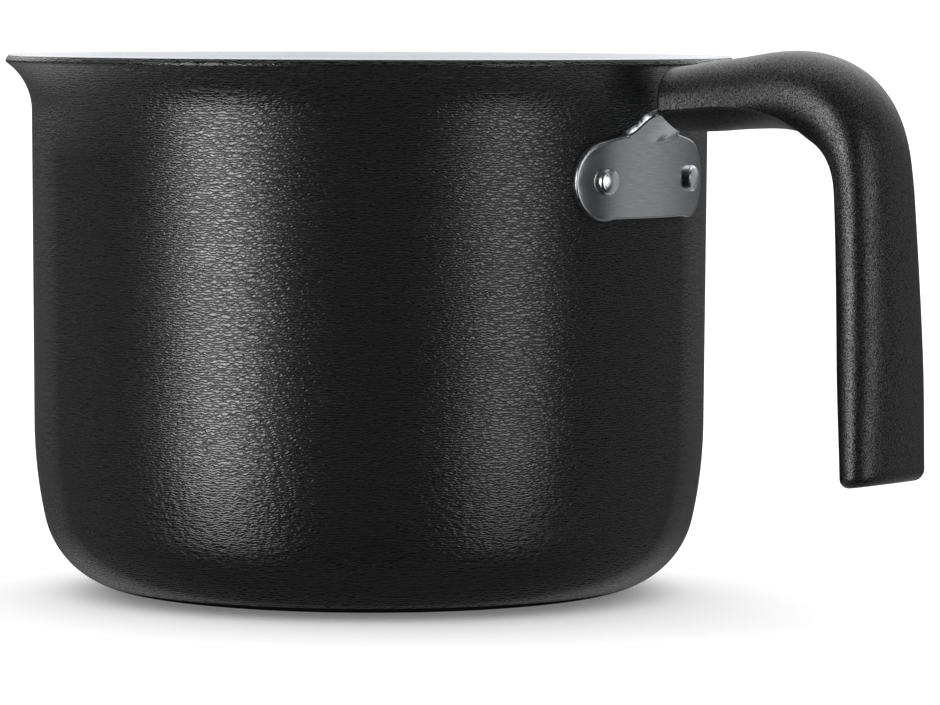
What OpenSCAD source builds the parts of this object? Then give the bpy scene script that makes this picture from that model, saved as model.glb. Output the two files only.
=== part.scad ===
// Milk pot: a drawn aluminium shell with a flared pouring rim, and an L-shaped moulded
// grip held by a riveted sheet bracket.
// Millimetres, +Z up. Origin: centre of the resting face. The handle points along +X.

/* [Pot] */
// Outer radius of the wall where it leaves the rounded bottom
body_r = 72.2; // [68:0.1:80]
// Height of the outer edge of the rim above the table
rim_h = 113.9; // [108:0.1:130]
// Thickness of the aluminium
wall = 2.1; // [1.6:0.1:3]
// Outward slope of the straight wall, in degrees
draft = 0.4; // [0:0.1:1]

/* [Bottom corner] */
// Radius of the soft shoulder below the straight wall
shoulder_r = 98; // [80:1:110]
// Radius of the tight corner
corner_r = 19.6; // [16:0.1:22]
// Radius of the shallow curve that runs into the flat base
belly_r = 60; // [50:1:70]
// Steepness at which the shallow curve meets the corner, in degrees
belly_turn = 9.6; // [6:0.1:12]
// Steepness at which the corner meets the shoulder, in degrees
corner_turn = 77.5; // [74:0.1:80]

/* [Pouring rim] */
// Outer radius of the flare's curve
flare_r = 12.6; // [10:0.1:15]
// How far the flare leans out from the vertical at its edge, in degrees
flare_turn = 57.5; // [45:0.5:65]
// Rounding along the cut edge of the rim
rim_edge_r = 0.6; // [0.3:0.1:0.7]

/* [Bracket] */
// Thickness of the bracket's sheet
sheet = 1.5; // [1.2:0.1:1.8]
// Height of the rivets above the table
rivet_z = 90.1; // [89.5:0.1:91]
// Angle of each rivet from the middle of the bracket, in degrees
rivet_angle = 11.8; // [10:0.1:14]
// Radius of the round lobe about each rivet
lobe_r = 8.2; // [7:0.1:9]
// Height of the waist between the lobes, below the rivets
waist_drop = 7.9; // [6.5:0.1:8]
// Half width of the neck
neck_w = 8.6; // [8.2:0.1:9.2]
// Fall of the plate's shoulders from the neck to the lobes, in degrees
shoulder_fall = 11; // [9:1:15]
// Radius of the hollow fillets between the shoulders and the neck
neck_fillet = 2; // [1.5:0.1:2.5]
// Radius of the neck's corners, where it narrows to enter the grip
neck_corner_r = 2.8; // [2.4:0.1:4]
// Climb of the neck, in degrees from the level
neck_climb = 41; // [36:1:45]
// Radius of the neck's dish at the wall, seen from above
neck_dish_r = 17; // [15:0.5:20]
// Radius of the upper bend of the sheet, on its middle line
bend_r = 3; // [2.5:0.1:3.2]
// Half width of the tongue inside the grip
tongue_w = 4.5; // [4:0.1:5]
// Height of the tongue's middle plane above the table
tongue_z = 106.2; // [106:0.1:106.4]
// Height of the sheet's middle line where it enters the grip
entry_z = 103.8; // [103.7:0.1:104.4]
// Length of the tongue inside the grip
tongue_len = 37; // [36:0.5:38]

/* [Rivets] */
// Diameter of the rivet's shank
rivet_d = 4; // [3:0.1:5]
// Diameter of the formed head outside the pot
dome_d = 5.5; // [5:0.1:8]
// Height of the formed head
dome_h = 1.8; // [1.6:0.1:2]
// Radius of the shoulder round the formed head
dome_shoulder = 0.9; // [0.5:0.1:1]
// Diameter of the flat head inside the pot
inner_head_d = 10; // [8:0.1:12]
// Height of the flat head
inner_head_h = 1.1; // [0.8:0.1:1.6]

/* [Grip] */
// Gap between the rim and the root of the grip
root_gap = 1.5; // [1:0.1:2.5]
// Height of the grip's centre line at its root
root_z = 106.8; // [106.5:0.1:107.5]
// Rise of the arm at its root, in degrees
arm_rise = 5.4; // [2:0.1:6]
// Length along the centre line at which the bend starts
bend_from = 21.4; // [20:0.1:25]
// Length along the centre line at which the bend ends
bend_to = 62.3; // [58:0.1:66]
// Part of the turn that is spread over the hand grip as a slow curve, in degrees
slow_turn = 6; // [0:0.1:8]
// Outward lean of the hand grip at its tip, in degrees
grip_lean = 1.7; // [0:0.1:5]
// Whole length of the centre line
grip_len = 118.7; // [105:0.1:125]
// Half thickness at the root
root_t = 6.8; // [6.4:0.05:7.2]
// Half thickness of the arm
arm_t = 7.3; // [7:0.05:8]
// Half thickness in the bend
bend_t = 8.5; // [7.5:0.05:9.5]
// Half thickness just below the bend
neck_t = 6.1; // [5.6:0.05:7.5]
// Half thickness of the palm swell
palm_t = 6.2; // [5.6:0.05:8]
// Half thickness at the tip
tip_t = 5.5; // [5:0.05:7.5]
// Half width at the root of the grip
root_w = 8.6; // [8:0.1:9]
// Half width at the tip of the grip
tip_w = 12.9; // [10:0.1:13.5]
// Squareness of the section: 2 is an ellipse
section_power = 2.3; // [2:0.05:2.6]
// Slant of the tip's end face, in degrees
tip_slant = 6.4; // [0:0.1:10]
// Rounding around the tip
tip_round = 2.2; // [1:0.1:3]

/* [Fixing] */
// Diameter of the fixing screw
screw_d = 3.5; // [3:0.5:4]
// Diameter of the screw's head
screw_head_d = 6; // [5.5:0.1:6.5]
// Height of the screw's head
screw_head_h = 2.4; // [2:0.1:2.6]
// Distance of the fixing screw from the root of the grip
screw_from_root = 32; // [28:0.5:33]
// Diameter of the brass insert
insert_d = 6.5; // [6:0.1:7.5]
// Length of the brass insert
insert_len = 6; // [4:0.5:7]

/* [Hidden] */
$fn = 96;

arc_step = 3;          // degrees between the points of an outline's arcs
eps = 0.01;
past = 5;              // how far a cutting shape reaches past the face it opens
fit_gap = 0.1;         // clearance of parts that are only fitted together
wall_turn = 90 - draft;

// Outline of the pot, from the base outward. Radii shrink or grow by the depth under the skin.
belly_c = [body_r - belly_r * sin(belly_turn)
               - corner_r * (sin(corner_turn) - sin(belly_turn))
               - shoulder_r * (sin(wall_turn) - sin(corner_turn)), belly_r];
corner_c = belly_c + (belly_r - corner_r) * [sin(belly_turn), -cos(belly_turn)];
shoulder_c = corner_c + (corner_r - shoulder_r) * [sin(corner_turn), -cos(corner_turn)];
wall_start = shoulder_c + shoulder_r * [sin(wall_turn), -cos(wall_turn)];
flare_z = rim_h - flare_r * (sin(flare_turn) - sin(draft));
flare_start = [wall_start.x + (flare_z - wall_start.y) * tan(draft), flare_z];
flare_c = flare_start + flare_r * [cos(draft), -sin(draft)];
rim_r = flare_c.x - flare_r * cos(flare_turn);

// Points of an arc that swells outward, from heading a0 to heading a1 in degrees
function convex(c, r, a0, a1) =
    [for (i = [0:ceil((a1 - a0) / arc_step)])
        let (a = min(a0 + i * arc_step, a1)) c + r * [sin(a), -cos(a)]];
// Points of the flare, which curls the other way, from the wall to its edge
function flare(depth) =
    [for (i = [0:ceil((flare_turn - draft) / arc_step)])
        let (a = min(draft + i * arc_step, flare_turn))
            flare_c - (flare_r + depth) * [cos(a), -sin(a)]];
// Skin of the pot at a depth under its outer face
function skin(depth) = concat(
    [[0, depth]],
    convex(belly_c, belly_r - depth, 0, belly_turn),
    convex(corner_c, corner_r - depth, belly_turn, corner_turn),
    convex(shoulder_c, shoulder_r - depth, corner_turn, wall_turn),
    flare(depth));
// The same list from its end to its start
function reversed(list) = [for (i = [len(list) - 1:-1:0]) list[i]];

// Radius of the outer wall at a height on the straight part
function wall_r(z) = wall_start.x + (z - wall_start.y) * tan(draft);

// Eases from 0 to 1 as t goes from 0 to 1
function ease(t) = let (u = min(max(t, 0), 1)) u * u * (3 - 2 * u);
// Eased value at s of a list of values given at a rising list of stations
function eased(s, stations, values, i = 0) =
    (i >= len(values) - 2 || s < stations[i + 1])
        ? values[i] + (values[i + 1] - values[i])
            * ease((s - stations[i]) / (stations[i + 1] - stations[i]))
        : eased(s, stations, values, i + 1);

// Centre line of the grip
root_x = rim_r + root_gap;
ring_count = 48;
ring_points = 14;      // points on each half of a section
ring_step = grip_len / ring_count;
bend_turn = 90 - grip_lean + arm_rise - slow_turn;
function eased_out(t) = let (u = min(max(t, 0), 1)) 1 - (1 - u) * (1 - u);
function heading(s) = arm_rise - bend_turn * ease((s - bend_from) / (bend_to - bend_from))
    - slow_turn * eased_out((s - bend_from) / (grip_len - bend_from));
function step(i) = ring_step * [cos(heading((i + 0.5) * ring_step)), sin(heading((i + 0.5) * ring_step))];
centre_line = [for (i = 0, p = [root_x, root_z]; i <= ring_count; p = p + step(i), i = i + 1) p];
bend_mid = (bend_from + bend_to) / 2;
thick_at = [0, bend_from - 8.5, bend_mid - 3.4, bend_to - 4, bend_to + 31, grip_len];
half_t = [root_t, arm_t, bend_t, neck_t, palm_t, tip_t];
width_at = [0, bend_mid, grip_len];
half_w = [root_w, (root_w + tip_w) / 2, tip_w];

// The keel under the arm: a crease each side, which runs down and fades into the bend
keel_from = 12;
keel_to = 50;
arm_drop = 0.26;       // drop of the arm's widest level below the centre line, over the half thickness
crease_low = 0.34;     // drop of the crease below the centre line, over the half thickness
crease_gone = 0.97;    // the same where the keel has faded
crease_share = 0.66;   // share of a section's points above the crease
keel_power = 1.6;
slant_len = 25;        // the slant of the tip's end face fades out over this length
function keel_fade(s) = ease((s - keel_from) / (keel_to - keel_from));

// A point of the rounded part of a section, as [width, height] over the half sizes
function rounded(a, drop) =
    [pow(abs(cos(a)), 2 / section_power),
     sign(sin(a)) * (1 + sign(sin(a)) * drop) * pow(abs(sin(a)), 2 / section_power) - drop];
// Right half of a section, from its top to its lowest point. c is the drop of the crease.
function half_section(c, drop) =
    let (low = -asin(pow((c - drop) / (1 - drop), section_power / 2)),
         corner = rounded(low, drop),
         above = floor(ring_points * crease_share),
         below = ring_points - above)
    concat([for (i = [0:above]) rounded(90 + (low - 90) * i / above, drop)],
           [for (i = [1:below]) let (w = 1 - i / below)
               [corner.x * w, -1 + (1 - c) * pow(w, keel_power)]]);
// Whole section, counter-clockwise seen against the centre line
function section(s) =
    let (fade = keel_fade(s),
         half = half_section(crease_low + (crease_gone - crease_low) * fade, arm_drop * (1 - fade)),
         n = len(half))
    concat(half, [for (i = [n - 2:-1:1]) [-half[i].x, half[i].y]]);

// One ring of the grip: s along the centre line, inset from the full section
function ring(s, inset) =
    let (i = min(floor(s / ring_step), ring_count - 1),
         f = s / ring_step - i,
         p = centre_line[i] * (1 - f) + centre_line[i + 1] * f,
         h = heading(s),
         t = eased(s, thick_at, half_t) - inset,
         w = eased(s, width_at, half_w) - inset,
         slant = tan(tip_slant) * ease((s - grip_len + slant_len) / slant_len))
    [for (q = section(s))
        let (up = q.y * t, along = -slant * up)
            [p.x + along * cos(h) - up * sin(h), q.x * w, p.y + along * sin(h) + up * cos(h)]];

root_round = 0.8;
round_steps = 4;
// Stations and insets that round the root, run along the grip and round the tip
grip_rings = concat(
    [for (i = [0:round_steps - 1]) let (a = 90 - 90 * i / round_steps)
        [root_round * (1 - sin(a)), root_round * (1 - cos(a))]],
    [for (i = [1:ring_count - 2]) [i * ring_step, 0]],
    [for (i = [1:round_steps]) let (a = 90 * i / round_steps)
        [grip_len - tip_round * (1 - sin(a)), tip_round * (1 - cos(a))]]);

// Heights of the fixing
screw_x = root_x + screw_from_root;
tongue_top = tongue_z + sheet / 2;
tongue_base = tongue_z - sheet / 2;
bracket_r = wall_r(rivet_z) + sheet;
head_edge = 1.2;            // softened edge of the rivets' flat heads
cross_w = 0.9;              // width of the arms of the screw's cross recess
cross_len = 3.2;
cross_depth = 1.2;
groove_depth = 0.6;         // depth of the groove that keys the insert in the grip
join_depth = 0.3 * sheet;   // how deep the plate and the neck run into each other past the middle line
level_run = 4;              // level part of the dished strip, which the flat tongue takes over

// Lays a solid of revolution along the wall's normal, which meets the wall at the given height
module radial(angle, z) {
    rotate([0, 0, angle]) translate([0, 0, z + body_r * tan(draft)])
        rotate([0, 90 + draft, 0]) children();
}

module pot_shell() {
    color([0.09, 0.09, 0.095])
    difference() {
        rotate_extrude($fn = 180) {
            difference() {
                polygon(concat(skin(0), reversed(skin(wall))));
                rim_edge_cut();
            }
        }
        for (side = [-1, 1])
            radial(side * rivet_angle, rivet_z)
                translate([0, 0, body_r - 2 * wall]) cylinder(d = rivet_d, h = 4 * wall);
    }
}

// Leaves a rounded edge on the pouring rim: removes the two corners outside their arcs
module rim_edge_cut() {
    for (depth = [0, wall]) {
        side = depth == 0 ? 1 : -1;
        translate(flare_c - (flare_r + depth) * [cos(flare_turn), -sin(flare_turn)])
            rotate(90 - flare_turn) mirror([0, side == 1 ? 0 : 1])
                difference() {
                    translate([-rim_edge_r, -eps]) square([rim_edge_r + 1, rim_edge_r + eps]);
                    translate([-rim_edge_r, rim_edge_r]) circle(rim_edge_r);
                    translate([-rim_edge_r - 1, -1]) square([1, rim_edge_r + 2]);
                }
    }
}

// Outline of the plate and neck, seen along the handle: x is the width, y the height
module plate_outline() {
    lobe = [bracket_r * sin(rivet_angle), rivet_z];
    low = rivet_z - waist_drop;
    normal = [sin(shoulder_fall), cos(shoulder_fall)];
    fillet_y = neck_w + neck_fillet;
    fillet_z = rivet_z + (lobe_r + neck_fillet - (fillet_y - lobe.x) * normal.x) / normal.y;
    // The shoulder starts a hair inside the lobe
    half = concat([[lobe.x, low], lobe + (lobe_r - 0.1) * normal],
                  bend([fillet_y, fillet_z], neck_fillet, 270 - shoulder_fall, 180),
                  [[neck_w, tongue_top + 2]]);
    polygon(concat(half, [for (p = reversed(half)) [-p.x, p.y]]));
}

// Points of a bend about a centre, from angle a0 down to angle a1 in degrees
function bend(centre, r, a0, a1) =
    let (steps = ceil((a0 - a1) / 6))
        [for (i = [0:steps]) let (a = a0 - (a0 - a1) * i / steps) centre + r * [cos(a), sin(a)]];

// Foot of the neck's middle line on the wall, and the place where it levels off
foot_x = wall_r(entry_z) + sheet / 2;
foot_z = entry_z - (root_x - foot_x) * tan(neck_climb);
level_x = root_x + (tongue_z - entry_z) / tan(neck_climb);
dish_x = foot_x - neck_dish_r;
plate_low = rivet_z - lobe_r - 1;

// Turns an outline about the dish's upright axis
module dished() {
    translate([dish_x, 0, 0]) rotate([0, 0, -90]) rotate_extrude(angle = 180, $fn = 180) children();
}

// The plate: sheet that lies on the wall and ends inside the thickness of the dished neck
module plate_sheet() {
    top = tongue_z;
    difference() {
        rotate([0, 0, -30]) rotate_extrude(angle = 60, $fn = 180)
            polygon([[wall_r(plate_low), plate_low], [wall_r(plate_low) + sheet, plate_low],
                     [wall_r(top) + sheet, top], [wall_r(top), top]]);
        translate([dish_x, 0, foot_z - neck_dish_r * tan(neck_climb) + join_depth / cos(neck_climb)])
            cylinder(r1 = 0, r2 = body_r, h = body_r * tan(neck_climb), $fn = 180);
    }
}

// The neck: a dished strip that climbs away from the wall and levels off inside the grip
module neck_sheet() {
    slope = [cos(neck_climb), sin(neck_climb)];
    across = [-sin(neck_climb), cos(neck_climb)];
    start = [neck_dish_r, foot_z] - bend_r * 2 * slope;
    level = [level_x - dish_x, tongue_z];
    centre = level - bend_r * tan(neck_climb / 2) * slope - bend_r * across;
    // One face of the sheet: side is 1 on the upper side and -1 on the lower
    function face(side) = concat(
        [start + side * sheet / 2 * across],
        bend(centre, bend_r + side * sheet / 2, 90 + neck_climb, 90),
        [[level.x + level_run, tongue_z + side * sheet / 2]]);
    difference() {
        dished() polygon(concat(face(1), reversed(face(-1))));
        translate([0, 0, plate_low])
            cylinder(r1 = wall_r(plate_low) + join_depth, r2 = wall_r(plate_low + body_r) + join_depth,
                     h = body_r, $fn = 180);
    }
}

// Plan of the neck and tongue: round corners, then the narrower tongue
module tongue_plan() {
    tip_x = root_x + tongue_len - tongue_w;
    corner_x = root_x - neck_corner_r;
    translate([0, -body_r / 2]) square([corner_x, body_r]);
    translate([0, neck_corner_r - neck_w]) square([root_x, 2 * (neck_w - neck_corner_r)]);
    // The corners stand a hair inside the neck's sides
    for (side = [-1, 1])
        translate([corner_x, side * (neck_w - neck_corner_r - 0.05)]) circle(neck_corner_r);
    translate([0, -tongue_w]) square([tip_x, 2 * tongue_w]);
    translate([tip_x, 0]) circle(tongue_w);
}

module handle_bracket() {
    color([0.62, 0.63, 0.64])
    difference() {
        intersection() {
            union() {
                plate_sheet();
                neck_sheet();
                translate([level_x + level_run / 2, -tongue_w, tongue_base])
                    cube([tongue_len, 2 * tongue_w, sheet]);
            }
            union() {
                rotate([90, 0, 90]) linear_extrude(2 * rim_h) plate_outline();
                for (side = [-1, 1])
                    radial(side * rivet_angle, rivet_z)
                        translate([0, 0, body_r - past]) cylinder(r = lobe_r, h = 2 * past);
            }
            linear_extrude(2 * rim_h) tongue_plan();
        }
        for (side = [-1, 1])
            radial(side * rivet_angle, rivet_z)
                translate([0, 0, body_r - past]) cylinder(d = rivet_d, h = 2 * past);
        translate([screw_x, 0, tongue_base - past]) cylinder(d = screw_d + 6 * fit_gap, h = sheet + 2 * past);
    }
}

// A rivet along its own axis: z = 0 on the pot's axis
module rivet(angle) {
    outer_z = bracket_r * cos(draft);
    inner_z = outer_z - sheet - wall;
    crown_w = dome_d / 2 - dome_shoulder;
    crown_h = 0.35;
    head_r = inner_head_d / 2;
    crown_r = (pow(crown_w, 2) + pow(crown_h, 2)) / (2 * crown_h);
    shoulder_z = dome_h - crown_h - dome_shoulder;
    color([0.8, 0.8, 0.81])
    radial(angle, rivet_z) {
        rotate_extrude($fn = 64) {
            // Shank
            translate([0, inner_z - eps]) square([rivet_d / 2, outer_z - inner_z + 2 * eps]);
            // Flat head with a softened edge
            translate([0, inner_z - inner_head_h])
                polygon([[0, 0], [head_r - head_edge, 0], [head_r - head_edge / 3, 0.3 * inner_head_h],
                         [head_r, 0.8 * inner_head_h], [head_r, inner_head_h], [0, inner_head_h]]);
            // Formed head: a short barrel, a round shoulder and a low crown
            translate([0, outer_z]) {
                square([dome_d / 2, shoulder_z]);
                square([crown_w, dome_h - crown_h]);
                translate([crown_w, shoulder_z]) intersection() {
                    circle(dome_shoulder);
                    translate([-eps, -eps]) square(dome_shoulder + 2 * eps);
                }
                intersection() {
                    translate([0, dome_h - crown_r]) circle(crown_r);
                    translate([0, dome_h - crown_h - eps]) square([crown_w, crown_h + 2 * eps]);
                }
            }
        }
    }
}

module rivet_left() rivet(-rivet_angle);
module rivet_right() rivet(rivet_angle);

// The moulded body of the grip before its holes
module grip_body() {
    rings = [for (r = grip_rings) ring(r[0], r[1])];
    n = len(rings[0]);
    last = len(rings) - 1;
    faces = concat(
        [[for (k = [0:n - 1]) k]],
        [for (i = [0:last - 1], k = [0:n - 1]) [i * n + (k + 1) % n, i * n + k, (i + 1) * n + k]],
        [for (i = [0:last - 1], k = [0:n - 1])
            [(i + 1) * n + (k + 1) % n, i * n + (k + 1) % n, (i + 1) * n + k]],
        [[for (k = [0:n - 1]) last * n + n - 1 - k]]);
    polyhedron(points = [for (r = rings) each r], faces = faces, convexity = 6);
}

module handle_grip() {
    slot_w = tongue_w + fit_gap;
    slot_h = sheet + 2 * fit_gap;
    slot_len = tongue_len + 0.5;
    mouth_len = (tongue_z - entry_z) / tan(neck_climb) + 0.7;
    mouth_drop = sheet / 2 / cos(neck_climb) + fit_gap;
    color([0.085, 0.085, 0.09])
    difference() {
        grip_body();
        // Slot for the tongue
        translate([root_x - past, -slot_w, tongue_z - slot_h / 2])
            cube([past + slot_len - slot_w, 2 * slot_w, slot_h]);
        translate([root_x + slot_len - slot_w, 0, tongue_z - slot_h / 2])
            cylinder(r = slot_w, h = slot_h);
        // Deeper mouth for the end of the climbing neck
        translate([root_x - past, -slot_w, entry_z - mouth_drop])
            cube([past + mouth_len, 2 * slot_w, tongue_z - entry_z + mouth_drop]);
        // Recess for the screw's head, open to the underside
        translate([screw_x, 0, tongue_z - 2 * bend_t])
            cylinder(d = screw_head_d + 4 * fit_gap, h = 2 * bend_t);
        // Seat of the insert
        translate([screw_x, 0, tongue_z]) cylinder(d = insert_d, h = slot_h / 2 + insert_len);
    }
}

module grip_screw() {
    head_top = tongue_base;
    reach = sheet + fit_gap + insert_len - 1;
    color([0.7, 0.7, 0.71])
    difference() {
        translate([screw_x, 0, head_top - screw_head_h]) union() {
            rotate_extrude() polygon([[0, 0], [screw_head_d / 2 - 0.5, 0],
                [screw_head_d / 2, 0.5], [screw_head_d / 2, screw_head_h], [0, screw_head_h]]);
            cylinder(d = screw_d - 0.1, h = screw_head_h + reach);
        }
        // Cross recess
        for (turn = [45, 135])
            translate([screw_x, 0, head_top - screw_head_h])
                rotate([0, 0, turn]) cube([cross_len, cross_w, 2 * cross_depth], center = true);
    }
}

module grip_insert() {
    base = tongue_z + sheet / 2 + fit_gap;
    color([0.78, 0.62, 0.3])
    difference() {
        translate([screw_x, 0, base]) rotate_extrude()
            polygon([[0, 0], [insert_d / 2, 0], [insert_d / 2, insert_len * 0.35],
                     [insert_d / 2 - groove_depth, insert_len * 0.42],
                     [insert_d / 2 - groove_depth, insert_len * 0.58],
                     [insert_d / 2, insert_len * 0.65], [insert_d / 2, insert_len], [0, insert_len]]);
        translate([screw_x, 0, base - 1]) cylinder(d = screw_d, h = insert_len);
    }
}

pot_shell();
handle_bracket();
rivet_left();
rivet_right();
handle_grip();
grip_screw();
grip_insert();
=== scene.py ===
import math

import bmesh
import bpy
from mathutils import Matrix, Vector
from mathutils.geometry import delaunay_2d_cdt


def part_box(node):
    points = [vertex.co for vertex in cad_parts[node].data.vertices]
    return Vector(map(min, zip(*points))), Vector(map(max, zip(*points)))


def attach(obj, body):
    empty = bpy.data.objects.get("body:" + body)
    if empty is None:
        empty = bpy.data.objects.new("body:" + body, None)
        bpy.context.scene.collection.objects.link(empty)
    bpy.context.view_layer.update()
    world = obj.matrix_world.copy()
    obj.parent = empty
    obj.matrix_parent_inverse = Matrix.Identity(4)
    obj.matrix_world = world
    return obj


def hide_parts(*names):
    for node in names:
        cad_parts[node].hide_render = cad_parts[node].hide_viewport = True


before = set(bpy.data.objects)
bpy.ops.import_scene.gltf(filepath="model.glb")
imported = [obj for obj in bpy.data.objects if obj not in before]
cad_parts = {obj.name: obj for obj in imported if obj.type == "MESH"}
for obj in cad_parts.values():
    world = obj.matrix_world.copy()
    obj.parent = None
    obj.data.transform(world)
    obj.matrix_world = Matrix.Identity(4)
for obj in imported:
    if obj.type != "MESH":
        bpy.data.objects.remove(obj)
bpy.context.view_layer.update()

# Shapes are worked out in millimetres and degrees; add_mesh turns them into metres.
MM = 0.001

# Pot
BODY_R = 72.2
WALL = 2.1
DRAFT = 0.4
SHOULDER_R = 98.0
CORNER_R = 19.6
BELLY_R = 60.0
BELLY_TURN = 9.6
CORNER_TURN = 77.5
FLARE_R = 12.6
FLARE_TURN = 57.5
RIM_EDGE_R = 0.6
WALL_TURN = 90 - DRAFT

# Bracket and rivets
SHEET = 1.5
FRONT_EDGE_R = 0.42
BACK_EDGE_R = 0.2
RIVET_Z = 90.1
RIVET_ANGLE = 11.8
LOBE_R = 8.2
WAIST_DROP = 7.9
NECK_W = 8.6
NECK_FILLET = 2.0
SHOULDER_FALL = 11.0
NECK_CORNER_R = 2.8
NECK_CLIMB = 41.0
NECK_DISH_R = 17.0
LOW_BEND_R = 1.7
BEND_R = 3.0
ENTRY_Z = 103.8
TONGUE_W = 4.5
TONGUE_Z = 106.2
RIVET_D = 4.0
HEAD_D = 5.5
HEAD_H = 1.8
HEAD_SHOULDER = 0.9
HEAD_CROWN = 0.35
INNER_HEAD_D = 10.0
INNER_HEAD_H = 1.1

# Grip
ROOT_GAP = 1.5
ROOT_Z = 106.8
ARM_RISE = 5.4
BEND_FROM = 21.4
BEND_TO = 62.3
SLOW_TURN = 6.0
GRIP_LEAN = 1.7
GRIP_LEN = 118.7
HALF_T = [6.8, 7.3, 8.5, 6.1, 6.2, 5.5]
ROOT_W = 8.6
TIP_W = 12.9
SECTION_POWER = 2.3
TIP_SLANT = 6.4
TIP_ROUND = 2.2
ROOT_ROUND = 0.8
KEEL_FROM = 12.0
KEEL_TO = 50.0
ARM_DROP = 0.26
CREASE_LOW = 0.34
CREASE_END = 0.97
KEEL_POWER = 1.6
SCREW_RECESS_D = 6.4

# Studio
CAMERA_AZIMUTH = 37.1
CAMERA_DISTANCE = 1173.4
CAMERA_HEIGHT = 126.95
CAMERA_YAW = 1.06
CAMERA_TILT = 3.69
CAMERA_ROLL = 0.21
CAMERA_LENS = 208.4


def sin(a):
    return math.sin(math.radians(a))


def cos(a):
    return math.cos(math.radians(a))


def tan(a):
    return math.tan(math.radians(a))


def ease(t):
    t = min(max(t, 0.0), 1.0)
    return t * t * (3 - 2 * t)


def spread(start, end, count):
    """count + 1 even steps from start to end."""
    return [start + (end - start) * i / count for i in range(count + 1)]


# ------------------------------------------------------------------ meshes

def add_mesh(name, points, faces, materials, numbers=None, sharp=40.0):
    """A smooth closed mesh from points in millimetres, with one material number a face."""
    mesh = bpy.data.meshes.new(name)
    mesh.from_pydata([Vector(p) * MM for p in points], [], faces)
    for material in materials:
        mesh.materials.append(material)
    if numbers:
        mesh.polygons.foreach_set("material_index", numbers)
    shell = bmesh.new()
    shell.from_mesh(mesh)
    bmesh.ops.recalc_face_normals(shell, faces=shell.faces)
    shell.to_mesh(mesh)
    shell.free()
    mesh.polygons.foreach_set("use_smooth", [True] * len(mesh.polygons))
    mesh.set_sharp_from_angle(angle=math.radians(sharp))
    obj = bpy.data.objects.new(name, mesh)
    bpy.context.scene.collection.objects.link(obj)
    return obj


def lathe(profile, bands, segments):
    """Points, faces and material numbers of (radius, height) pairs turned about Z.

    bands holds the material number of each stretch. A radius of zero closes that end.
    """
    points, rings = [], []
    for r, z in profile:
        if r < 1e-6:
            rings.append([len(points)] * segments)
            points.append((0.0, 0.0, z))
        else:
            rings.append([len(points) + k for k in range(segments)])
            points += [(r * cos(a), r * sin(a), z) for a in spread(0, 360, segments)[:-1]]
    faces, numbers = [], []
    for low, high, number in zip(rings, rings[1:], bands):
        for k in range(segments):
            n = (k + 1) % segments
            faces.append(list(dict.fromkeys((low[k], low[n], high[n], high[k]))))
            numbers.append(number)
    return points, faces, numbers


def claim(piece, slot, *nodes):
    """The piece rides on the only body and stands for the CAD nodes. The slot is not used."""
    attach(piece, "root")
    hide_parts(*nodes)
    return piece


def cut(piece, points, faces):
    """Takes a closed shape, in millimetres, away from the piece."""
    tool = add_mesh("cutter", points, faces, [])
    change = piece.modifiers.new("cut", "BOOLEAN")
    change.operation = "DIFFERENCE"
    change.solver = "EXACT"
    change.object = tool
    done = bpy.data.meshes.new_from_object(piece.evaluated_get(bpy.context.evaluated_depsgraph_get()))
    piece.modifiers.clear()
    piece.data = done
    bpy.data.objects.remove(tool)


# ------------------------------------------------------------------ node graphs

def node(material, kind, inputs=None, **settings):
    """A new node, with each input given as a value or as the socket it is fed from."""
    made = material.node_tree.nodes.new(kind)
    for key, value in settings.items():
        setattr(made, key, value)
    for key, value in (inputs or {}).items():
        if isinstance(value, bpy.types.NodeSocket):
            material.node_tree.links.new(value, made.inputs[key])
        else:
            made.inputs[key].default_value = value
    return made


def new_material(name, **values):
    """A material and its main shader, with the shader's inputs set by name."""
    material = bpy.data.materials.new(name)
    material.use_nodes = True
    shader = material.node_tree.nodes["Principled BSDF"]
    for key, value in values.items():
        shader.inputs[key.replace("_", " ")].default_value = value
    return material, shader


def feed(material, shader, key, socket):
    material.node_tree.links.new(socket, shader.inputs[key])


def place(material, scale):
    """Object coordinates in millimetres, stretched by scale."""
    spot = node(material, "ShaderNodeTexCoord")
    return node(material, "ShaderNodeMapping", {
        "Vector": spot.outputs["Object"], "Scale": Vector(scale) / MM}, vector_type="POINT").outputs["Vector"]


def noise(material, vector, scale=1.0, detail=2.0, roughness=0.5):
    return node(material, "ShaderNodeTexNoise", {
        "Vector": vector, "Scale": scale, "Detail": detail, "Roughness": roughness}).outputs["Fac"]


def ranged(material, socket, low, high, start=0.0, end=1.0):
    """A value turned from the range start..end into low..high."""
    return node(material, "ShaderNodeMapRange", {
        "Value": socket, "From Min": start, "From Max": end, "To Min": low, "To Max": high}).outputs["Result"]


def ramp(material, socket, stops):
    """A value that runs through (position, value) stops."""
    made = node(material, "ShaderNodeValToRGB", {"Fac": socket})
    stretch = made.color_ramp.elements
    while len(stretch) < len(stops):
        stretch.new(0.5)
    for element, (position, value) in zip(stretch, stops):
        element.position = position
        element.color = grey(value)
    return made.outputs["Color"]


def times(material, *sockets):
    """The product of sockets or values."""
    result = sockets[0]
    for socket in sockets[1:]:
        step = node(material, "ShaderNodeMath", {0: result, 1: socket}, operation="MULTIPLY")
        result = step.outputs["Value"]
    return result


def bump(material, height, distance_mm, strength=1.0):
    return node(material, "ShaderNodeBump", {
        "Height": height, "Distance": distance_mm * MM, "Strength": strength}).outputs["Normal"]


def grey(value):
    return (value, value, value, 1.0)


def shade_between(material, shader, socket, low, high, start=0.0, end=1.0):
    """Feeds the base colour with a faintly cool grey whose brightness follows the socket."""
    # In this mode the node's three sockets are hue, saturation and value
    tint = node(material, "ShaderNodeCombineColor", mode="HSV", inputs={
        "Red": 0.6, "Green": 0.06, "Blue": ranged(material, socket, low, high, start, end)})
    feed(material, shader, "Base Color", tint.outputs["Color"])


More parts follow.
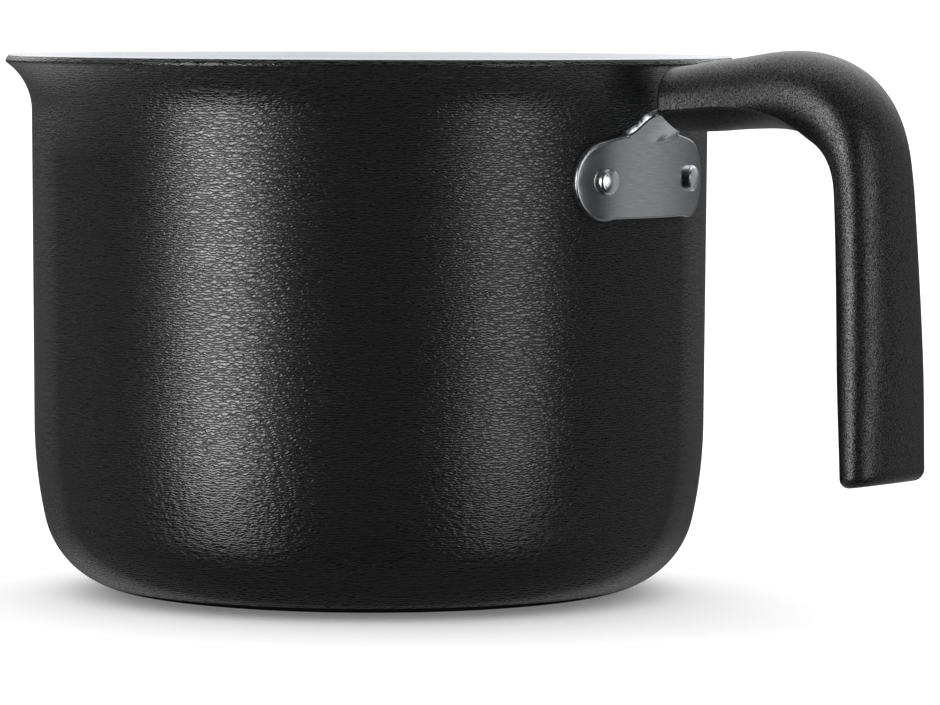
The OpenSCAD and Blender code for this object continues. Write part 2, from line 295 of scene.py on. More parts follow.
# ------------------------------------------------------------------ materials

def wrinkled_coat():
    """Black non-stick coat: a satin film over fine wrinkles that run mostly round the pot."""
    material, shader = new_material("black_wrinkled_coat", IOR=1.5)
    wrinkles = node(material, "ShaderNodeTexWave", {
        "Vector": place(material, (0.6, 0.6, 1)), "Scale": 0.62, "Distortion": 7.0, "Detail": 1.0,
        "Detail Scale": 1.9, "Detail Roughness": 0.6},
        wave_type="BANDS", bands_direction="Z", wave_profile="SIN").outputs["Fac"]
    patches = noise(material, place(material, (1, 1, 1.6)), 1.2, 1.0)
    sweep = noise(material, place(material, (1, 1, 4)), 0.05, 2.0)
    # The wrinkles are real bumps; their reflection is also painted stronger on the crests and weaker in the
    # troughs, varied in random patches
    painted_wrinkle_sheen = times(material, ranged(material, wrinkles, 0.35, 1.65),
                   ranged(material, patches, 0.75, 1.25, 0.3, 0.7))
    feed(material, shader, "Normal", bump(material, wrinkles, 0.04, 1.0))
    feed(material, shader, "Roughness", ranged(material, sweep, 0.24, 0.28, 0.3, 0.7))
    feed(material, shader, "Specular IOR Level", times(material, painted_coat_reflection(material), painted_wrinkle_sheen))
    # Painted shade: the colour is a little darker in the wrinkles' troughs
    shade_between(material, shader, wrinkles, 0.007, 0.015)
    return material


def painted_coat_reflection(material):
    """Painted reflection and shade on the coat: its reflection is turned down at a slant and up at a graze,
    painted brighter on the flare, and dimmed towards the base as painted shade.
    """
    spot = place(material, (1, 1, 1))
    height = node(material, "ShaderNodeSeparateXYZ", {"Vector": spot}).outputs["Z"]
    slant = node(material, "ShaderNodeLayerWeight", {"Blend": 0.5}).outputs["Facing"]
    film = ramp(material, slant, [(0.15, 1.0), (0.34, 0.34), (0.62, 0.22), (0.76, 1.6)])
    # Painted highlight: near the rim the reflection follows this stronger curve, which brightens the flare
    flare = ranged(material, slant, 0.9, 2.4, 0.4, 0.75)
    up_to_flare = ranged(material, height, 0.0, 1.0, RIM_H - 20, RIM_H - 8)
    gloss = node(material, "ShaderNodeMix", {"Factor": up_to_flare, "A": film, "B": flare}, data_type="FLOAT")
    # Painted shade: the reflection fades towards the base, where the floor under the pot lies in shade
    return times(material, gloss.outputs["Result"], ranged(material, height, 0.0, 0.5, 2, 17))


def pale_lining():
    """Pale ceramic lining: smooth, faintly speckled, a little rough with use."""
    material, shader = new_material("pale_ceramic_lining", IOR=1.5)
    speckle = noise(material, place(material, (1, 1, 1)), 2.4, 2.0)
    wear = noise(material, place(material, (1, 1, 0.4)), 0.06, 3.0)
    feed(material, shader, "Normal", bump(material, speckle, 0.01, 0.6))
    feed(material, shader, "Roughness", ranged(material, wear, 0.25, 0.42, 0.3, 0.7))
    shade_between(material, shader, speckle, 0.62, 0.68, 0.3, 0.7)
    return material


def rolled_sheet():
    """Face of the bracket: satin steel with a fine grain along the handle's width."""
    material, shader = new_material("satin_steel_face", Metallic=1.0)
    grain = noise(material, place(material, (0.3, 0.3, 8)), 1.0, 3.0, 0.6)
    cloud = noise(material, place(material, (1, 1, 1)), 0.15, 2.0)
    feed(material, shader, "Normal", bump(material, grain, 0.01, 0.5))
    feed(material, shader, "Roughness", ranged(material, cloud, 0.19, 0.25, 0.3, 0.7))
    shade_between(material, shader, grain, 0.56, 0.72, 0.35, 0.65)
    return material


def cut_edge():
    """Sheared edge of the sheet: brighter, with short marks across it."""
    material, shader = new_material("sheared_steel_edge", Metallic=1.0)
    marks = noise(material, place(material, (1.2, 1.2, 0.5)), 1.6, 2.0)
    feed(material, shader, "Normal", bump(material, marks, 0.05, 0.7))
    feed(material, shader, "Roughness", ranged(material, marks, 0.25, 0.45, 0.3, 0.7))
    shade_between(material, shader, marks, 0.4, 0.55, 0.3, 0.7)
    return material


def rivet_metal():
    """Formed aluminium head: bright and slightly hammered."""
    material, shader = new_material("formed_aluminium", Metallic=1.0)
    dents = noise(material, place(material, (1, 1, 1)), 0.9, 2.0)
    feed(material, shader, "Normal", bump(material, dents, 0.05, 0.6))
    feed(material, shader, "Roughness", ranged(material, dents, 0.24, 0.38, 0.3, 0.7))
    shade_between(material, shader, dents, 0.86, 0.94, 0.3, 0.7)
    return material


def grained_resin():
    """Moulded phenolic resin: matt black with a fine eroded grain."""
    material, shader = new_material("grained_black_resin", IOR=1.5)
    grain = noise(material, place(material, (1, 1, 1)), 3.4, 1.0, 0.6)
    cloud = noise(material, place(material, (1, 1, 1)), 0.12, 2.0)
    feed(material, shader, "Normal", bump(material, grain, 0.06, 1.0))
    feed(material, shader, "Roughness", ranged(material, cloud, 0.36, 0.42, 0.3, 0.7))
    feed(material, shader, "Specular IOR Level", ranged(material, grain, 0.15, 0.85, 0.35, 0.65))
    shade_between(material, shader, grain, 0.002, 0.014, 0.35, 0.65)
    return material


def plated_steel():
    """Zinc-plated screw: a little cloudy."""
    material, shader = new_material("zinc_plated_steel", Metallic=1.0)
    cloud = noise(material, place(material, (1, 1, 1)), 1.5, 3.0)
    feed(material, shader, "Normal", bump(material, cloud, 0.02, 0.5))
    feed(material, shader, "Roughness", ranged(material, cloud, 0.28, 0.42, 0.3, 0.7))
    shade_between(material, shader, cloud, 0.55, 0.66, 0.3, 0.7)
    return material


def turned_brass():
    """Turned brass insert with fine tool rings."""
    material, shader = new_material("turned_brass", Metallic=1.0)
    rings = noise(material, place(material, (0.2, 0.2, 8)), 1.0, 2.0)
    feed(material, shader, "Normal", bump(material, rings, 0.01, 0.6))
    feed(material, shader, "Roughness", ranged(material, rings, 0.22, 0.36, 0.3, 0.7))
    shader.inputs["Base Color"].default_value = (0.78, 0.6, 0.28, 1.0)
    return material


# ------------------------------------------------------------------ pot

RIM_H = (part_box("pot_shell")[1].z / MM - WALL * sin(FLARE_TURN)
         + RIM_EDGE_R * (sin(FLARE_TURN) + cos(FLARE_TURN) - 1))
BELLY_C = Vector((
    BODY_R - BELLY_R * sin(BELLY_TURN) - CORNER_R * (sin(CORNER_TURN) - sin(BELLY_TURN))
    - SHOULDER_R * (sin(WALL_TURN) - sin(CORNER_TURN)),
    BELLY_R))
CORNER_C = BELLY_C + (BELLY_R - CORNER_R) * Vector((sin(BELLY_TURN), -cos(BELLY_TURN)))
SHOULDER_C = CORNER_C + (CORNER_R - SHOULDER_R) * Vector((sin(CORNER_TURN), -cos(CORNER_TURN)))
WALL_START = SHOULDER_C + SHOULDER_R * Vector((sin(WALL_TURN), -cos(WALL_TURN)))
FLARE_Z = RIM_H - FLARE_R * (sin(FLARE_TURN) - sin(DRAFT))
FLARE_START = Vector((WALL_START.x + (FLARE_Z - WALL_START.y) * tan(DRAFT), FLARE_Z))
FLARE_C = FLARE_START + FLARE_R * Vector((cos(DRAFT), -sin(DRAFT)))
ROOT_X = FLARE_C.x - FLARE_R * cos(FLARE_TURN) + ROOT_GAP


def wall_r(z):
    """Outer radius of the straight wall at a height."""
    return WALL_START.x + (z - WALL_START.y) * tan(DRAFT)


def skin(depth):
    """The pot's profile at a depth under its outer face, from the axis out to the rim."""
    def convex(centre, radius, start, end, count):
        return [centre + (radius - depth) * Vector((sin(a), -cos(a))) for a in spread(start, end, count)]

    trim = math.degrees(RIM_EDGE_R / (FLARE_R + depth))
    base = [Vector((r, depth)) for r in spread(0, BELLY_C.x, 12)[:-1]]
    wall = convex(SHOULDER_C, SHOULDER_R, CORNER_TURN, WALL_TURN, 12)
    flare = [FLARE_C - (FLARE_R + depth) * Vector((cos(a), -sin(a)))
             for a in spread(DRAFT, FLARE_TURN - trim, 60)]
    rise = [wall[-1].lerp(flare[0], t) for t in spread(0, 1, 10)[1:-1]]
    return (base + convex(BELLY_C, BELLY_R, 0, BELLY_TURN, 12)[:-1]
            + convex(CORNER_C, CORNER_R, BELLY_TURN, CORNER_TURN, 70)[:-1] + wall + rise + flare)


def rim_corner(depth, start):
    """A rounded corner of the rim's cut edge, over a quarter turn."""
    along = Vector((sin(FLARE_TURN), cos(FLARE_TURN)))
    inward = Vector((-cos(FLARE_TURN), sin(FLARE_TURN)))
    side = 1 if depth == 0 else -1
    centre = FLARE_C + (FLARE_R + depth + side * RIM_EDGE_R) * inward - RIM_EDGE_R * along
    return [centre + RIM_EDGE_R * (cos(a) * along + sin(a) * inward) for a in spread(start, start + 90, 8)]


def build_pot():
    outside = skin(0) + rim_corner(0, -90)
    inside = rim_corner(WALL, 0) + skin(WALL)[::-1]
    bands = [0] * len(outside) + [1] * len(inside)
    points, faces, numbers = lathe(outside + inside, bands, 360)
    pot = add_mesh("coated_pot", points, faces, [wrinkled_coat(), pale_lining()], numbers)
    return claim(pot, "coated_shell", "pot_shell")


# ------------------------------------------------------------------ bracket

class Sheet:
    """The bracket's sheet, laid flat and bent to shape.

    A flat point is (distance along the sheet's middle line, sideways distance).
    """

    def __init__(self):
        self.end_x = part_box("handle_bracket")[1].x / MM
        self.foot_x = wall_r(ENTRY_Z) + SHEET / 2
        self.foot_z = ENTRY_Z - (ROOT_X - self.foot_x) * tan(NECK_CLIMB)
        self.dish_x = self.foot_x - NECK_DISH_R
        low_offset = LOW_BEND_R * Vector((1, -tan((90 - NECK_CLIMB) / 2)))
        self.low_c = Vector((self.foot_x, self.foot_z)) + low_offset
        slope = Vector((cos(NECK_CLIMB), sin(NECK_CLIMB)))
        across = Vector((-sin(NECK_CLIMB), cos(NECK_CLIMB)))
        level = Vector((ROOT_X + (TONGUE_Z - ENTRY_Z) / tan(NECK_CLIMB), TONGUE_Z))
        self.high_c = level - BEND_R * tan(NECK_CLIMB / 2) * slope - BEND_R * across
        self.line = self.middle_line()
        self.stations = [0.0]
        for a, b in zip(self.line, self.line[1:]):
            self.stations.append(self.stations[-1] + (b - a).length)
        self.bend_s = self.along(self.low_c.y, lambda p, s: p.y)

    def middle_line(self):
        """(radius, height) in short steps: up along the wall, out along the neck, level in the grip."""
        low = RIVET_Z - LOBE_R - 1
        stops = [Vector((wall_r(low) + SHEET / 2, low))]
        for centre, radius, start, end in ((self.low_c, LOW_BEND_R, 180, 90 + NECK_CLIMB),
                                           (self.high_c, BEND_R, 90 + NECK_CLIMB, 90)):
            stops += [centre + radius * Vector((cos(a), sin(a))) for a in spread(start, end, 10)]
        stops.append(Vector((self.end_x, TONGUE_Z)))
        line = []
        for a, b in zip(stops, stops[1:]):
            line += [a.lerp(b, t) for t in spread(0, 1, max(1, round((b - a).length / 0.6)))[:-1]]
        return line + [stops[-1]]

    def along(self, value, of):
        """Distance along the line at which of(point, distance) reaches the value."""
        last = len(self.line) - 2
        i = next((i for i in range(last) if of(self.line[i + 1], self.stations[i + 1]) >= value), last)
        a, b = (of(self.line[k], self.stations[k]) for k in (i, i + 1))
        return self.stations[i] + (value - a) / (b - a) * (self.stations[i + 1] - self.stations[i])

    def at_height(self, z, side):
        return self.along(z, lambda p, s: p.y + self.lift(s, p.x, side))

    def at_plan(self, x, side):
        return self.along(math.hypot(x, side), lambda p, s: p.x)

    def neck_z(self, r):
        """Height of the neck's middle plane at a radius from the dish's axis, counted from the pot's axis."""
        if r > self.high_c.x:
            return TONGUE_Z
        if r > self.high_c.x - BEND_R * sin(NECK_CLIMB):
            return self.high_c.y + math.sqrt(BEND_R ** 2 - (r - self.high_c.x) ** 2)
        return self.foot_z + (r - self.foot_x) * tan(NECK_CLIMB)

    def lift(self, s, r, side):
        """How much higher the dished neck stands at a sideways distance than in the middle."""
        r = max(r, self.foot_x)
        wide = self.dish_x + math.hypot(math.sqrt(r ** 2 - side ** 2) - self.dish_x, side)
        return ease((s - self.bend_s + 11) / 10) * (self.neck_z(wide) - self.neck_z(r))

    def bend(self, s, side, out):
        """The bent place of a flat point that stands out over the middle line."""
        last = len(self.line) - 2
        i = next((i for i in range(last) if self.stations[i + 1] >= s), last)
        f = (s - self.stations[i]) / (self.stations[i + 1] - self.stations[i])
        steps = [self.line[min(max(k, 0), last) + 1] - self.line[min(max(k, 0), last)]
                 for k in (i - 1, i, i + 1)]
        course = (steps[0].normalized() + steps[1].normalized()).lerp(
            steps[1].normalized() + steps[2].normalized(), f).normalized()
        spot = self.line[i].lerp(self.line[i + 1], f)
        angle = math.asin(side / spot.x)
        r = spot.x + out * course.y
        z = spot.y + self.lift(s, spot.x, side) - out * course.x
        return (r * math.cos(angle), r * math.sin(angle), z)

    def outline(self):
        """Half of the flat outline, from the middle of the lower edge to the middle of the tongue's end."""
        outer_r = wall_r(RIVET_Z) + SHEET
        middle_r = outer_r - SHEET / 2

        def lobe(a):
            turn = RIVET_ANGLE + math.degrees(math.asin(LOBE_R * cos(a) / outer_r))
            side = middle_r * sin(turn)
            return (self.at_height(RIVET_Z + LOBE_R * sin(a), side), side)

        def corner(a):
            x, y = corner_x + NECK_CORNER_R * cos(a), NECK_W - NECK_CORNER_R + NECK_CORNER_R * sin(a)
            return (self.at_plan(x, y), y)

        def fillet(a):
            side = fillet_y + NECK_FILLET * cos(a)
            return (self.at_height(fillet_z + NECK_FILLET * sin(a), side), side)

        waist = -180 + math.degrees(math.asin(WAIST_DROP / LOBE_R))
        lobe_y = outer_r * sin(RIVET_ANGLE)
        fillet_y = NECK_W + NECK_FILLET
        fillet_rise = LOBE_R + NECK_FILLET - (fillet_y - lobe_y) * sin(SHOULDER_FALL)
        fillet_z = RIVET_Z + fillet_rise / cos(SHOULDER_FALL)
        lower = self.at_height(RIVET_Z - WAIST_DROP, 0)
        tip_x = self.end_x - TONGUE_W
        corner_x = ROOT_X - NECK_CORNER_R
        flat = [(lower, y) for y in spread(0, lobe(waist)[1], 16)[:-1]]
        flat += [lobe(a) for a in spread(waist, 90 - SHOULDER_FALL, 96)]
        start = Vector((RIVET_Z + LOBE_R * cos(SHOULDER_FALL), lobe_y + LOBE_R * sin(SHOULDER_FALL)))
        end = Vector((fillet_z - NECK_FILLET * cos(SHOULDER_FALL),
                      fillet_y - NECK_FILLET * sin(SHOULDER_FALL)))
        for t in spread(0, 1, 12)[1:-1]:
            z, side = start.lerp(end, t)
            flat.append((self.at_height(z, side), side))
        flat += [fillet(a) for a in spread(270 - SHOULDER_FALL, 180, 16)]
        last = Vector(flat[-1])
        flat += [tuple(last.lerp(Vector(corner(90)), t)) for t in spread(0, 1, 8)[1:-1]]
        flat += [corner(a) for a in spread(90, 0, 10)]
        flat += [(self.at_plan(x, TONGUE_W), TONGUE_W) for x in spread(ROOT_X + 0.1, tip_x, 40)]
        for a in spread(90, 0, 10)[1:]:
            x, y = tip_x + TONGUE_W * cos(a), TONGUE_W * sin(a)
            flat.append((self.at_plan(x, y), y))
        return flat


def inset(loop, distance):
    """The loop moved inward by a small distance. It runs counter-clockwise."""
    moved = []
    for i, p in enumerate(loop):
        before = (p - loop[i - 1]).normalized()
        after = (loop[(i + 1) % len(loop)] - p).normalized()
        tangent = (before + after).normalized()
        moved.append(p + distance * Vector((-tangent.y, tangent.x)))
    return moved


def inside(p, loop):
    """True where the point is inside the loop."""
    found = False
    for a, b in zip(loop, loop[1:] + loop[:1]):
        if (a.y > p.y) != (b.y > p.y) and p.x < a.x + (p.y - a.y) / (b.y - a.y) * (b.x - a.x):
            found = not found
    return found


def cap(loop, rows, columns):
    """Fills a flat loop with small triangles. Returns its points, the loop's own first, and the faces."""
    too_near = 0.16
    inner = [Vector((s, y)) for s in rows for y in columns]
    inner = [p for p in inner if inside(p, loop) and min((p - q).length_squared for q in loop) > too_near]
    points, _, faces, *_ = delaunay_2d_cdt(loop + inner, [], [list(range(len(loop)))], 1, 1e-6)
    return points, faces


def build_bracket():
    sheet = Sheet()
    half = sheet.outline()
    # The half outline and its mirror image make one loop, turned to run counter-clockwise
    loop = [Vector(p) for p in half] + [Vector((s, -y)) for s, y in half[::-1] if y > 1e-6]
    area = sum(a.x * b.y - a.y * b.x for a, b in zip(loop, loop[1:] + loop[:1]))
    if area < 0:
        loop.reverse()
    front, back = FRONT_EDGE_R, BACK_EDGE_R
    top = SHEET / 2
    rings = [(front * (1 - sin(a)), top - front * (1 - cos(a))) for a in spread(0, 90, 6)]
    rings += [(back * (1 - cos(a)), back - top - back * sin(a)) for a in spread(0, 90, 3)]
    count = len(loop)
    points = [sheet.bend(p.x, p.y, out) for depth, out in rings for p in inset(loop, depth)]
    faces, numbers = [], []
    for i in range(len(rings) - 1):
        for k in range(count):
            n = (k + 1) % count
            faces.append((i * count + k, i * count + n, (i + 1) * count + n, (i + 1) * count + k))
            numbers.append(1)
    rows = sheet.stations[1:-1]
    columns = spread(-22, 22, 44)
    for ring, (depth, out) in ((0, rings[0]), (len(rings) - 1, rings[-1])):
        flat, triangles = cap(inset(loop, depth), rows, columns)
        near = {}
        for k, p in enumerate(inset(loop, depth)):
            near[(round(p.x, 4), round(p.y, 4))] = ring * count + k
        index = []
        for p in flat:
            known = near.get((round(p.x, 4), round(p.y, 4)))
            if known is None:
                known = len(points)
                points.append(sheet.bend(p.x, p.y, out))
            index.append(known)
        faces += [tuple(index[k] for k in triangle) for triangle in triangles]
        numbers += [0] * len(triangles)
    bracket = add_mesh("sheet_bracket", points, faces, [rolled_sheet(), cut_edge()], numbers, 50)
    return claim(bracket, "bracket_steel", "handle_bracket")


# ------------------------------------------------------------------ rivets

def rivet_profile():
    """(radius, distance from the pot's axis), from the inner head to the outer one."""
    outer = (wall_r(RIVET_Z) + SHEET) * cos(DRAFT)
    inner = outer - SHEET - WALL
    flat = inner - INNER_HEAD_H
    crown_r = HEAD_D / 2 - HEAD_SHOULDER
    ball_r = (crown_r ** 2 + HEAD_CROWN ** 2) / (2 * HEAD_CROWN)
    inner_r = INNER_HEAD_D / 2
    # The inner head is flat, with a soft edge of short steps
    profile = [(r, flat) for r in spread(0, inner_r - 1.2, 4)]
    profile += [(inner_r - 0.7, flat + 0.08), (inner_r - 0.3, flat + 0.3), (inner_r - 0.06, flat + 0.65),
                (inner_r, flat + 0.9), (inner_r, inner), (RIVET_D / 2, inner), (RIVET_D / 2, outer),
                (HEAD_D / 2, outer)]
    shoulder = outer + HEAD_H - HEAD_CROWN - HEAD_SHOULDER
    profile += [(crown_r + HEAD_SHOULDER * cos(a), shoulder + HEAD_SHOULDER * sin(a))
                for a in spread(0, 84, 10)]
    profile += [(r, outer + HEAD_H - ball_r + math.sqrt(ball_r ** 2 - r ** 2))
                for r in spread(crown_r, 0, 8)[1:]]
    return profile


def build_rivet(name, node_name, side, metal):
    profile = rivet_profile()
    points, faces, _ = lathe(profile, [0] * (len(profile) - 1), 64)
    lie = (Matrix.Rotation(math.radians(side * RIVET_ANGLE), 4, "Z")
           @ Matrix.Translation((0, 0, RIVET_Z + BODY_R * tan(DRAFT)))
           @ Matrix.Rotation(math.radians(90 + DRAFT), 4, "Y"))
    rivet = add_mesh(name, [lie @ Vector(p) for p in points], faces, [metal], None, 35)
    return claim(rivet, "rivet_aluminium", node_name)


# ------------------------------------------------------------------ grip

def eased(s, stations, values):
    """A value at s, eased between the values given at the stations."""
    i = next((i for i in range(len(values) - 2) if s < stations[i + 1]), len(values) - 2)
    share = ease((s - stations[i]) / (stations[i + 1] - stations[i]))
    return values[i] + (values[i + 1] - values[i]) * share


def heading(s):
    """Direction of the grip's centre line, in degrees over the level."""
    rest = 1 - min(max((s - BEND_FROM) / (GRIP_LEN - BEND_FROM), 0), 1)
    bend = 90 - GRIP_LEAN + ARM_RISE - SLOW_TURN
    return ARM_RISE - bend * ease((s - BEND_FROM) / (BEND_TO - BEND_FROM)) - SLOW_TURN * (1 - rest * rest)


def centre_line(start, steps):
    step = GRIP_LEN / steps
    line = [start]
    for i in range(steps):
        a = heading((i + 0.5) * step)
        line.append(line[-1] + step * Vector((cos(a), sin(a))))
    return line


def half_section(crease, drop, bead):
    """Right half of a section, from its top to its lowest point, over the half sizes.

    drop is how far its widest level lies under the middle, and bead is the share of the lip at the crease.
    """
    def rounded(a):
        up = math.copysign(1, sin(a))
        return Vector((abs(cos(a)) ** (2 / SECTION_POWER),
                       up * (1 + up * drop) * abs(sin(a)) ** (2 / SECTION_POWER) - drop))

    low = -math.degrees(math.asin(((crease - drop) / (1 - drop)) ** (SECTION_POWER / 2)))
    corner = rounded(low)
    above = [rounded(a) for a in spread(90, low, 44)][:-1]
    below = [Vector((corner.x * w, -1 + (1 - crease) * w ** KEEL_POWER)) for w in spread(1, 0, 18)[1:]]
    lip = [corner + Vector((0.004 * bead, 0.022 * bead)), corner + Vector((0.016 * bead, 0)),
           corner + Vector((0.004 * bead, -0.022 * bead))]
    return above + lip + below


def build_grip():
    steps = 236
    line = centre_line(Vector((ROOT_X, ROOT_Z)), steps)
    bend_mid = (BEND_FROM + BEND_TO) / 2
    thick_at = [0, BEND_FROM - 8.5, bend_mid - 3.4, BEND_TO - 4, BEND_TO + 31, GRIP_LEN]

    def ring(s, inward):
        i = min(int(s / GRIP_LEN * steps), steps - 1)
        p = line[i].lerp(line[i + 1], s / GRIP_LEN * steps - i)
        h = heading(s)
        t = eased(s, thick_at, HALF_T) - inward
        w = eased(s, [0, bend_mid, GRIP_LEN], [ROOT_W, (ROOT_W + TIP_W) / 2, TIP_W]) - inward
        slant = tan(TIP_SLANT) * ease((s - GRIP_LEN + 25) / 25)
        fade = ease((s - KEEL_FROM) / (KEEL_TO - KEEL_FROM))
        half = half_section(CREASE_LOW + (CREASE_END - CREASE_LOW) * fade, ARM_DROP * (1 - fade),
                            1 - ease(fade * 1.3))
        section = half + [Vector((-q.x, q.y)) for q in half[-2:0:-1]]
        places = []
        for q in section:
            up = q.y * t
            along = -slant * up
            places.append((p.x + along * cos(h) - up * sin(h), q.x * w, p.y + along * sin(h) + up * cos(h)))
        return places

    rounds = [(ROOT_ROUND * (1 - sin(a)), ROOT_ROUND * (1 - cos(a))) for a in spread(90, 0, 8)[:-1]]
    rounds += [(s, 0) for s in spread(ROOT_ROUND, GRIP_LEN - TIP_ROUND, 220)]
    rounds += [(GRIP_LEN - TIP_ROUND * (1 - sin(a)), TIP_ROUND * (1 - cos(a))) for a in spread(0, 90, 14)[1:]]
    # Both ends are closed by rings that shrink to the middle of the end face
    shares = [0.75, 0.4, 0.1]
    rings = [ring(s, inward) for s, inward in rounds]
    first, last = rings[0], rings[-1]
    rings = [shrunk(first, k) for k in shares[::-1]] + rings + [shrunk(last, k) for k in shares]
    count = len(first)
    points = [p for places in rings for p in places]
    faces = [tuple(range(count)), tuple((len(rings) - 1) * count + k for k in range(count))]
    for i in range(len(rings) - 1):
        for k in range(count):
            n = (k + 1) % count
            faces.append((i * count + k, i * count + n, (i + 1) * count + n, (i + 1) * count + k))
    grip = add_mesh("moulded_grip", points, faces, [grained_resin()], None, 30)
    cut_grip(grip)
    return claim(grip, "grip_phenolic", "handle_grip")


def shrunk(ring, share):
    """The ring drawn in towards its own middle, to a share of its size."""
    middle = sum((Vector(p) for p in ring), Vector()) / len(ring)
    return [tuple(middle.lerp(Vector(p), share)) for p in ring]


def cut_grip(grip):
    """Opens the tongue's slot and the recess under the screw."""
    half_w = TONGUE_W + 0.1
    half_h = SHEET / 2 + 0.1
    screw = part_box("grip_screw")
    centre = (screw[0] + screw[1]) / 2 / MM
    end_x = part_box("handle_bracket")[1].x / MM + 0.5
    mouth = (TONGUE_Z - ENTRY_Z) / tan(NECK_CLIMB) + 0.7
    drop = SHEET / 2 / cos(NECK_CLIMB) + 0.1
    side_view = [(ROOT_X - 2, ENTRY_Z - drop), (ROOT_X + mouth, ENTRY_Z - drop),
                 (ROOT_X + mouth, TONGUE_Z - half_h), (end_x, TONGUE_Z - half_h),
                 (end_x, TONGUE_Z + half_h), (ROOT_X - 2, TONGUE_Z + half_h)]
    count = len(side_view)
    points = [(x, y, z) for y in (-half_w, half_w) for x, z in side_view]
    faces = [tuple(range(count)), tuple(range(count, 2 * count))]
    faces += [(k, (k + 1) % count, count + (k + 1) % count, count + k) for k in range(count)]
    cut(grip, points, faces)
    top, bottom = TONGUE_Z - half_h + 0.05, TONGUE_Z - 20
    r = SCREW_RECESS_D / 2
    points, faces, _ = lathe([(0, bottom), (r, bottom), (r, top), (0, top)], [0, 0, 0], 64)
    cut(grip, [(x + centre.x, y, z) for x, y, z in points], faces)


# ------------------------------------------------------------------ fixing

def dress_fixing():
    """The screw and the insert keep their CAD meshes and take their finishes."""
    for name, finish in (("grip_screw", plated_steel()), ("grip_insert", turned_brass())):
        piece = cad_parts[name]
        piece.data.materials.clear()
        piece.data.materials.append(finish)


# ------------------------------------------------------------------ studio

def look_along(azimuth, elevation=0.0):
    return Vector((sin(azimuth) * cos(elevation), -cos(azimuth) * cos(elevation), sin(elevation)))


def add_camera():
    data = bpy.data.cameras.new("camera")
    data.lens = CAMERA_LENS
    data.clip_end = 20
    camera = bpy.data.objects.new("camera", data)
    camera.location = (look_along(CAMERA_AZIMUTH) * CAMERA_DISTANCE + Vector((0, 0, CAMERA_HEIGHT))) * MM
    turn = Matrix.Rotation(math.radians(CAMERA_AZIMUTH - CAMERA_YAW), 3, "Z")
    tilt = Matrix.Rotation(math.radians(90 - CAMERA_TILT), 3, "X")
    roll = Matrix.Rotation(math.radians(CAMERA_ROLL), 3, "Z")
    camera.rotation_euler = (turn @ tilt @ roll).to_euler()
    bpy.context.scene.collection.objects.link(camera)
    bpy.context.scene.camera = camera


def add_softbox(name, off_axis, distance, width, low, high, strength, across, upward):
    """A tall soft light at an angle to the right of the camera, as seen from the pot.

    It only shows in reflections. Its distance, width and the heights of its edges are in metres.
    across and upward hold the (position, value) stops of its brightness, from its left and its lower edge.
    """
    material = bpy.data.materials.new(name)
    material.use_nodes = True
    material.node_tree.nodes.clear()
    spot = node(material, "ShaderNodeTexCoord").outputs["Generated"]
    parts = node(material, "ShaderNodeSeparateXYZ", {"Vector": spot})
    level = times(material, ramp(material, parts.outputs["X"], across),
                  ramp(material, parts.outputs["Z"], upward), strength)
    glow = node(material, "ShaderNodeEmission", {"Strength": level})
    node(material, "ShaderNodeOutputMaterial", {"Surface": glow.outputs["Emission"]})
    mesh = bpy.data.meshes.new(name)
    w = width / 2
    mesh.from_pydata([(-w, 0, low), (w, 0, low), (w, 0, high), (-w, 0, high)], [], [(0, 1, 2, 3)])
    mesh.materials.append(material)
    box = bpy.data.objects.new(name, mesh)
    angle = CAMERA_AZIMUTH + off_axis
    box.location = look_along(angle) * distance
    box.rotation_euler = (0, 0, math.radians(angle))
    box.visible_camera = False
    box.visible_diffuse = False
    box.visible_shadow = False
    bpy.context.scene.collection.objects.link(box)


def add_floor():
    """A wide pale floor under the pot, twelve metres across. It doesn't show in reflections."""
    mesh = bpy.data.meshes.new("floor")
    half = 6.0
    corners = [(-half, -half, 0), (half, -half, 0), (half, half, 0), (-half, half, 0)]
    mesh.from_pydata(corners, [], [(0, 1, 2, 3)])
    material, shader = new_material("pale_floor", Roughness=0.9)
    shader.inputs["Base Color"].default_value = grey(0.9)
    shader.inputs["Specular IOR Level"].default_value = 0.0
    shader.inputs["Emission Color"].default_value = grey(1.0)
    shader.inputs["Emission Strength"].default_value = 0.16
    mesh.materials.append(material)
    floor = bpy.data.objects.new("floor", mesh)
    floor.visible_glossy = False
    bpy.context.scene.collection.objects.link(floor)


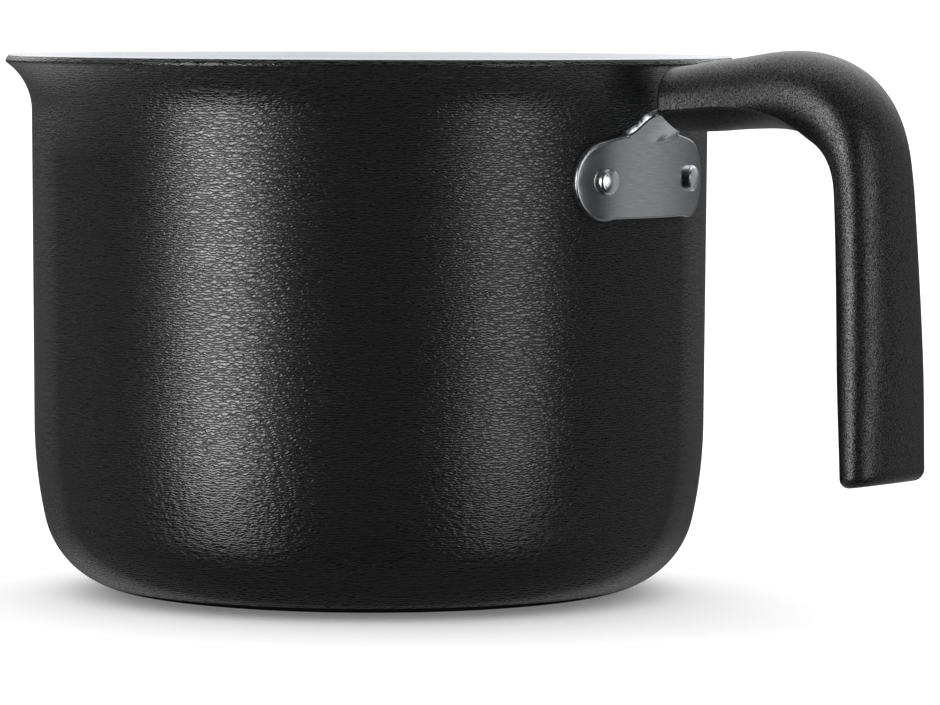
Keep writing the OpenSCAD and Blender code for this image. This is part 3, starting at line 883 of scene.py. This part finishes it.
def add_surroundings():
    """White to the camera and to matt surfaces; a dim room with a bright back and ceiling in reflections."""
    world = bpy.data.worlds.new("studio")
    world.use_nodes = True
    world.cycles.sampling_method = "NONE"
    bpy.context.scene.world = world
    spot = node(world, "ShaderNodeTexCoord").outputs["Generated"]
    behind = node(world, "ShaderNodeVectorMath", {0: spot, 1: -look_along(CAMERA_AZIMUTH)},
                  operation="DOT_PRODUCT").outputs["Value"]
    height = node(world, "ShaderNodeSeparateXYZ", {"Vector": spot}).outputs["Z"]
    # Reflections: a wall that brightens upward behind the pot, a dark floor, a soft ceiling
    low = times(world, ranged(world, behind, 0.0, 1.0, -0.14, 0.0),
                ranged(world, behind, 0.34, 0.1, 0.3, 0.8))
    high = times(world, ranged(world, behind, 0.0, 1.9, 0.45, 0.8),
                 ranged(world, height, 0.0, 1.0, 0.05, 0.4))
    wall = node(world, "ShaderNodeMath", {0: low, 1: high}, operation="ADD").outputs["Value"]
    floor = times(world, ranged(world, behind, 0.0, 0.75, 0.2, 0.9),
                  ranged(world, height, 1.0, 0.0, -0.55, -0.15))
    ceiling = times(world, ranged(world, behind, 0.04, 1.8, -0.35, 0.3),
                    ranged(world, height, 0.0, 1.0, 0.6, 0.8))
    ground = node(world, "ShaderNodeMath", {0: wall, 1: floor}, operation="MAXIMUM").outputs["Value"]
    room = node(world, "ShaderNodeMath", {0: ground, 1: ceiling}, operation="MAXIMUM")
    # Matt surfaces: a white room that is brighter behind the pot
    glow = ranged(world, behind, 0.5, 2.25, -1.0, 1.0)
    path = node(world, "ShaderNodeLightPath")
    matt = node(world, "ShaderNodeMix", {"Factor": path.outputs["Is Camera Ray"], "A": glow, "B": 1.2},
                data_type="FLOAT")
    level = node(world, "ShaderNodeMix", {
        "Factor": path.outputs["Is Glossy Ray"], "A": matt.outputs["Result"], "B": room.outputs["Value"]},
        data_type="FLOAT")
    feed(world, world.node_tree.nodes["Background"], "Strength", level.outputs["Result"])
    world.node_tree.nodes["Background"].inputs["Color"].default_value = grey(1.0)


def build_studio():
    add_camera()
    add_floor()
    upward = [(0.0, 0.0), (0.44, 0.4), (0.6, 1.0), (0.86, 1.0), (1.0, 0.0)]
    add_softbox("left_softbox", off_axis=-54, distance=1.0, width=0.86, low=-0.6, high=0.5, strength=10.8,
                across=[(0, 0), (0.2, 0.1), (0.45, 0.9), (0.72, 1), (1, 0)], upward=upward)
    add_softbox("right_softbox", off_axis=47, distance=1.0, width=0.66, low=-0.6, high=0.5, strength=4.0,
                across=[(0, 0), (0.35, 1), (0.6, 1), (1, 0)], upward=upward)
    add_surroundings()
    view = bpy.context.scene.view_settings
    view.view_transform = "Standard"
    view.look = "None"


build_pot()
build_bracket()
metal = rivet_metal()
build_rivet("button_rivet_left", "rivet_left", -1, metal)
build_rivet("button_rivet_right", "rivet_right", 1, metal)
build_grip()
dress_fixing()
build_studio()
